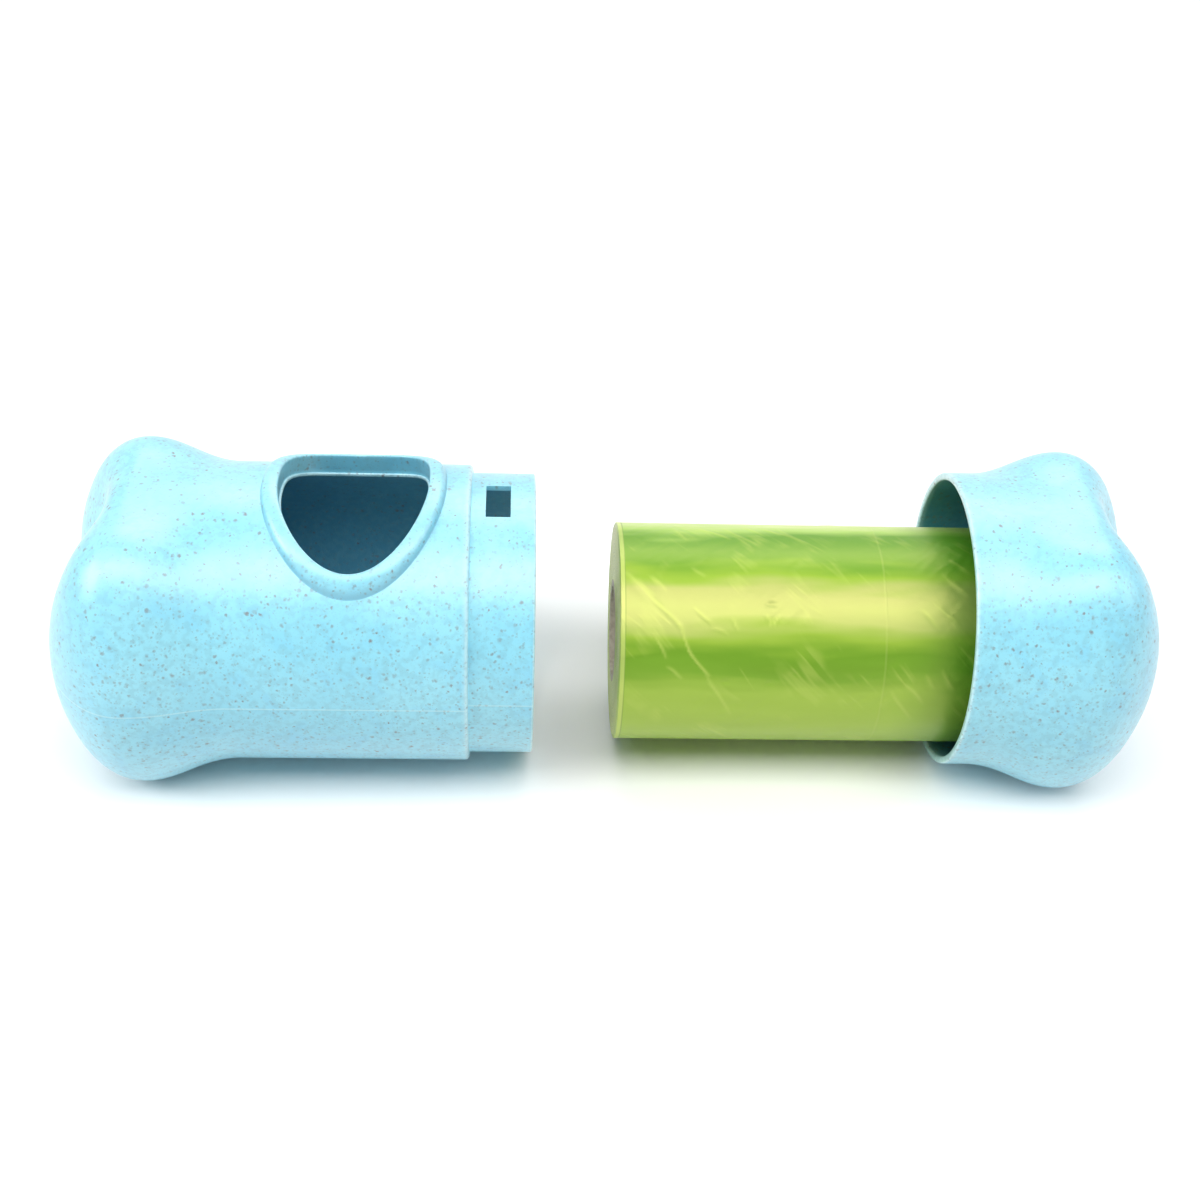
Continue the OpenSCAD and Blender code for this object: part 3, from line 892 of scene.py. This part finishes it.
def corePaper():
    paint = newPaint("core_paper")
    where = paint.place()
    x, y, z = paint.axes(where)
    turn = (z - layout["rollHeight"]).calc("ARCTAN2", y)
    spiral = (x / core["pitch"] + turn / (2 * math.pi)).calc("FRACT")
    seam = 1 - abs(spiral - 0.5).ease(*core["seamEase"])
    fibre = paint.cloud(where, core["fibre"])
    base = paint.blend(fibre.ease(*core["fibreEase"]), core["paper"], core["shade"])
    base = paint.blend(seam * core["seamTone"], base, core["shade"])
    bump = paint.relief(fibre * core["fibreHeight"] - seam * core["seamDepth"])
    lowest, added = core["roughness"]
    return paint.finish({"Base Color": base, "Roughness": fibre * added + lowest, "Normal": bump})


# Floor and light
studio = {
    "floorSize": 3,          # metres, from its middle
    "floor": (0.78, 0.78, 0.78, 1.0),
    "dust": (0.8, 0.8, 0.8, 1.0),
    "dustNoise": {"Scale": 0.02, "Detail": 2.0},
    "dustTone": 0.5,
    # what the camera sees, itself and in gloss, so that the paper stays white
    "seenFloor": (1.03, 1.03, 1.03, 1.0),
    "farFloor": (170, 380),
    "white": (1, 1, 1, 1),
    "world": 0.125,
    "aim": (0, 0, 0.02),     # metres
    "lamps": (
        # place in metres, width, depth, watts
        ((0.0, -0.275, 0.69), 1.0, 0.36, 4.65),
        ((-0.6, -0.16, 0.42), 0.35, 0.35, 2.3),
        ((0.62, -0.12, 0.4), 0.35, 0.35, 0.8),
        ((0.1, 0.45, 0.56), 0.7, 0.35, 2.1),
    ),
}


def whiteFloor():
    paint = newPaint("white_floor")
    where = paint.place()
    dust = paint.cloud(where, studio["dustNoise"])
    paper = paint.blend(dust * studio["dustTone"], studio["floor"], studio["dust"])
    seen = paint.seen()
    base = paint.blend(seen, paper, studio["seenFloor"])
    diffuse = paint.node("ShaderNodeBsdfDiffuse", None, {"Color": base})
    # past the lamps' reach the floor is plain white to the camera
    x, y, _ = paint.axes(where)
    far = ((x * x + y * y) ** 0.5).ease(*studio["farFloor"])
    white = paint.node("ShaderNodeEmission", None, {"Color": studio["white"], "Strength": 1.0})
    shader = paint.node("ShaderNodeMixShader", None, {0: seen * far, 1: diffuse, 2: white})
    paint.node("ShaderNodeOutputMaterial", None, {"Surface": shader})
    return paint.owner


def addStudio():
    bm = bmesh.new()
    bmesh.ops.create_grid(bm, x_segments=1, y_segments=1, size=studio["floorSize"])
    floor = finishMesh(bm, "floor", toMetres=False)
    floor.data.materials.append(whiteFloor())
    sky = Paint(bpy.data.worlds.new("studio"))
    bpy.context.scene.world = sky.owner
    strength = sky.seen() * (1 - studio["world"]) + studio["world"]
    light = sky.node("ShaderNodeBackground", None, {"Color": studio["white"], "Strength": strength})
    sky.node("ShaderNodeOutputWorld", None, {"Surface": light})
    for number, (place, width, depth, watts) in enumerate(studio["lamps"]):
        lamp = bpy.data.lights.new(f"softbox{number}", "AREA")
        lamp.shape, lamp.size, lamp.size_y, lamp.energy = "RECTANGLE", width, depth, watts
        holder = bpy.data.objects.new(lamp.name, lamp)
        bpy.context.collection.objects.link(holder)
        holder.location = place
        aim = Vector(studio["aim"]) - Vector(place)
        holder.rotation_euler = aim.to_track_quat("-Z", "Y").to_euler()


def dress(piece, material, body, slotName, *nodes):
    piece.data.materials.clear()
    piece.data.materials.append(material)
    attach(piece, body)
    if nodes:
        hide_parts(*nodes)


addCamera()
print("camera placed")
blue = speckledPlastic()
barrelSkin = buildBarrel()
sharpen(barrelSkin)
markWalls(barrelSkin, layout["barrelLobes"], -1, barrel["insideShadeDepth"], barrel["rims"])
dress(barrelSkin, blue, "barrel", "blue_plastic", "body_shell")
print("barrel:", len(barrelSkin.data.polygons), "faces")
band = buildSlotBand()
dress(band, blue, "barrel", "blue_plastic", "body_shell")
print("slot band:", len(band.data.polygons), "faces")
capSkin = buildCap()
sharpen(capSkin)
markWalls(capSkin, layout["capLobes"], 1, cap["insideShadeDepth"], cap["rims"])
dress(capSkin, blue, "cap", "blue_plastic", "end_cap")
print("cap:", len(capSkin.data.polygons), "faces")
lugs = buildLugs()
sharpen(lugs)
markWalls(lugs, layout["capLobes"], 1, cap["insideShadeDepth"], ())
dress(lugs, blue, "cap", "blue_plastic", "end_cap")
print("snap lugs done")
roll = buildRoll()
sharpen(roll, 40)
dress(roll, bagFilm(), "roll", "green_film", "bag_roll")
print("roll:", len(roll.data.polygons), "faces")
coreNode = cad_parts["roll_core"]
coreNode.data.materials.clear()
coreNode.data.materials.append(corePaper())
print("paper core dressed")
addStudio()
print("studio lit")

scene = bpy.context.scene
scene.view_settings.view_transform = "Standard"
